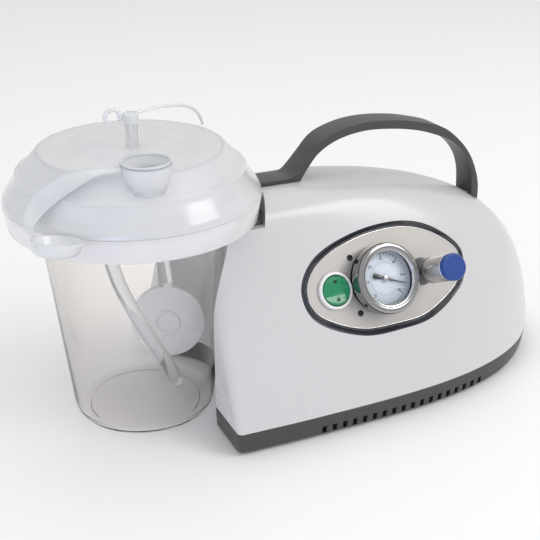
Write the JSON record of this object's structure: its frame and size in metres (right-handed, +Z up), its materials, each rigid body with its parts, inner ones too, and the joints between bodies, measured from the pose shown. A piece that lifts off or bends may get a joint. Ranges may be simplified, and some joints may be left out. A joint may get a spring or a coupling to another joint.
{
  "type": "suction pump",
  "caption": "Portable ward suction pump: a clear lidded collection canister docked on a leaning white housing with a carry handle, vacuum gauge, switch and regulator knob.",
  "frame": {"origin": "centre of the whole object's box, on the table under its feet", "axes": "+X from the canister to the rounded nose, -Y towards the control panel, +Z up"},
  "size_m": [0.3506, 0.172, 0.1939],
  "materials": {
    "shell_white": "glossy white moulding",
    "dark_grey": "fine-textured dark grey plastic",
    "canister_clear": "clear warm-tinted polycarbonate, moulded",
    "frosted": "translucent milky white plastic",
    "panel_silver": "satin silver-beige plate",
    "bright_metal": "polished metal",
    "rocker_green": "glossy translucent green, lit from behind",
    "knob_blue": "blue cap disc",
    "black_plastic": "black moulded plastic",
    "dial_face": "printed dial, pale blue-white",
    "gauge_glass": "clear flat window",
    "soft_rubber": "black rubber",
    "machined_steel": "machined steel",
    "copper_winding": "varnished copper wire",
    "cast_alloy": "die-cast alloy",
    "clear_tube": "clear silicone tubing"
  },
  "bodies": {
    "housing": {"housing_shell": "shell_white", "switch_bezel": "shell_white", "base_pan": "dark_grey", "canister_bay": "dark_grey", "carry_handle": "dark_grey", "panel_bezel": "dark_grey", "regulator_valve": "dark_grey", "panel_plate": "panel_silver", "gauge_bezel": "bright_metal", "gauge_case": "black_plastic", "exhaust_silencer": "black_plastic", "power_inlet": "black_plastic", "gauge_dial": "dial_face", "gauge_lens": "gauge_glass", "rubber_foot_1": "soft_rubber", "rubber_foot_2": "soft_rubber", "rubber_foot_3": "soft_rubber", "rubber_foot_4": "soft_rubber", "dock_seal": "soft_rubber", "vibration_mount_1": "soft_rubber", "vibration_mount_2": "soft_rubber", "vibration_mount_3": "soft_rubber", "vibration_mount_4": "soft_rubber", "panel_screw_1": "machined_steel", "panel_screw_2": "machined_steel", "mount_plate": "machined_steel", "valve_plate": "machined_steel", "stator_core": "machined_steel", "winding_front": "copper_winding", "winding_rear": "copper_winding", "crankcase": "cast_alloy", "cylinder": "cast_alloy", "cylinder_head": "cast_alloy", "bearing_bracket_front": "cast_alloy", "bearing_bracket_rear": "cast_alloy", "dock_hose": "clear_tube", "suction_hose": "clear_tube", "exhaust_hose": "clear_tube", "gauge_hose": "clear_tube"},
    "rotor": {"rotor_shaft": "machined_steel", "crank": "machined_steel", "cooling_fan": "black_plastic"},
    "rod": {"connecting_rod": "cast_alloy"},
    "needle": {"gauge_needle": "black_plastic"},
    "rocker": {"switch_rocker": "rocker_green"},
    "knob": {"regulator_knob": "panel_silver", "knob_cap": "knob_blue"},
    "fuse": {"fuse_drawer": "black_plastic"},
    "canister_body": {"canister": "canister_clear", "canister_collar": "frosted"},
    "lid": {"canister_lid": "frosted", "dip_tube": "clear_tube", "filter_front": "frosted", "filter_rear": "frosted", "filter_hose": "clear_tube", "port_cap_strap": "frosted", "cup_cap_strap": "frosted"},
    "port_cap_body": {"port_cap": "frosted"},
    "cup_cap_body": {"cup_cap": "frosted"}
  },
  "joints": [
    {"name": "power_rocker", "type": "hinge", "parent": "housing", "child": "rocker", "pos_m": [0.00389, -0.05021, 0.07601], "axis": [0.9986, 0.0523, 0], "range_deg": [-8, 8]},
    {"name": "regulator_turn", "type": "hinge", "parent": "housing", "child": "knob", "pos_m": [0.06648, -0.04846, 0.07631], "axis": [0.047, -0.8976, 0.4384], "range_deg": [-270, 0]},
    {"name": "gauge_needle_swing", "type": "hinge", "parent": "housing", "child": "needle", "pos_m": [0.0355, -0.0496, 0.0773], "axis": [0.047, -0.8976, 0.4384], "range_deg": [0, 245]},
    {"name": "motor_spin", "type": "hinge", "parent": "housing", "child": "rotor", "pos_m": [0.0045, 0.008, 0.052], "axis": [1, 0, 0], "continuous": true},
    {"name": "rod_turn", "type": "hinge", "parent": "rotor", "child": "rod", "pos_m": [0.0045, 0.008, 0.0545], "axis": [1, 0, 0], "continuous": true},
    {"name": "canister_lift", "type": "slide", "parent": "housing", "child": "canister_body", "axis": [0, 0, 1], "range_m": [0, 0.15]},
    {"name": "lid_lift", "type": "slide", "parent": "canister_body", "child": "lid", "axis": [0, 0, 1], "range_m": [0, 0.16]},
    {"name": "port_cap_pull", "type": "slide", "parent": "lid", "child": "port_cap_body", "axis": [0, 0, 1], "range_m": [0, 0.012], "deforming": ["port_cap_strap"]},
    {"name": "cup_cap_swing", "type": "hinge", "parent": "lid", "child": "cup_cap_body", "pos_m": [-0.13389, -0.05731, 0.15623], "axis": [-0.204, 0.9771, -0.0602], "range_deg": [0, 170], "deforming": ["cup_cap_strap"]},
    {"name": "fuse_drawer_pull", "type": "slide", "parent": "housing", "child": "fuse", "axis": [0.1191, 0.8924, 0.4352], "range_m": [0, 0.012]}
  ],
  "couplings": [
    {"joint": "rod_turn", "follows": "motor_spin", "ratio": -1}
  ]
}
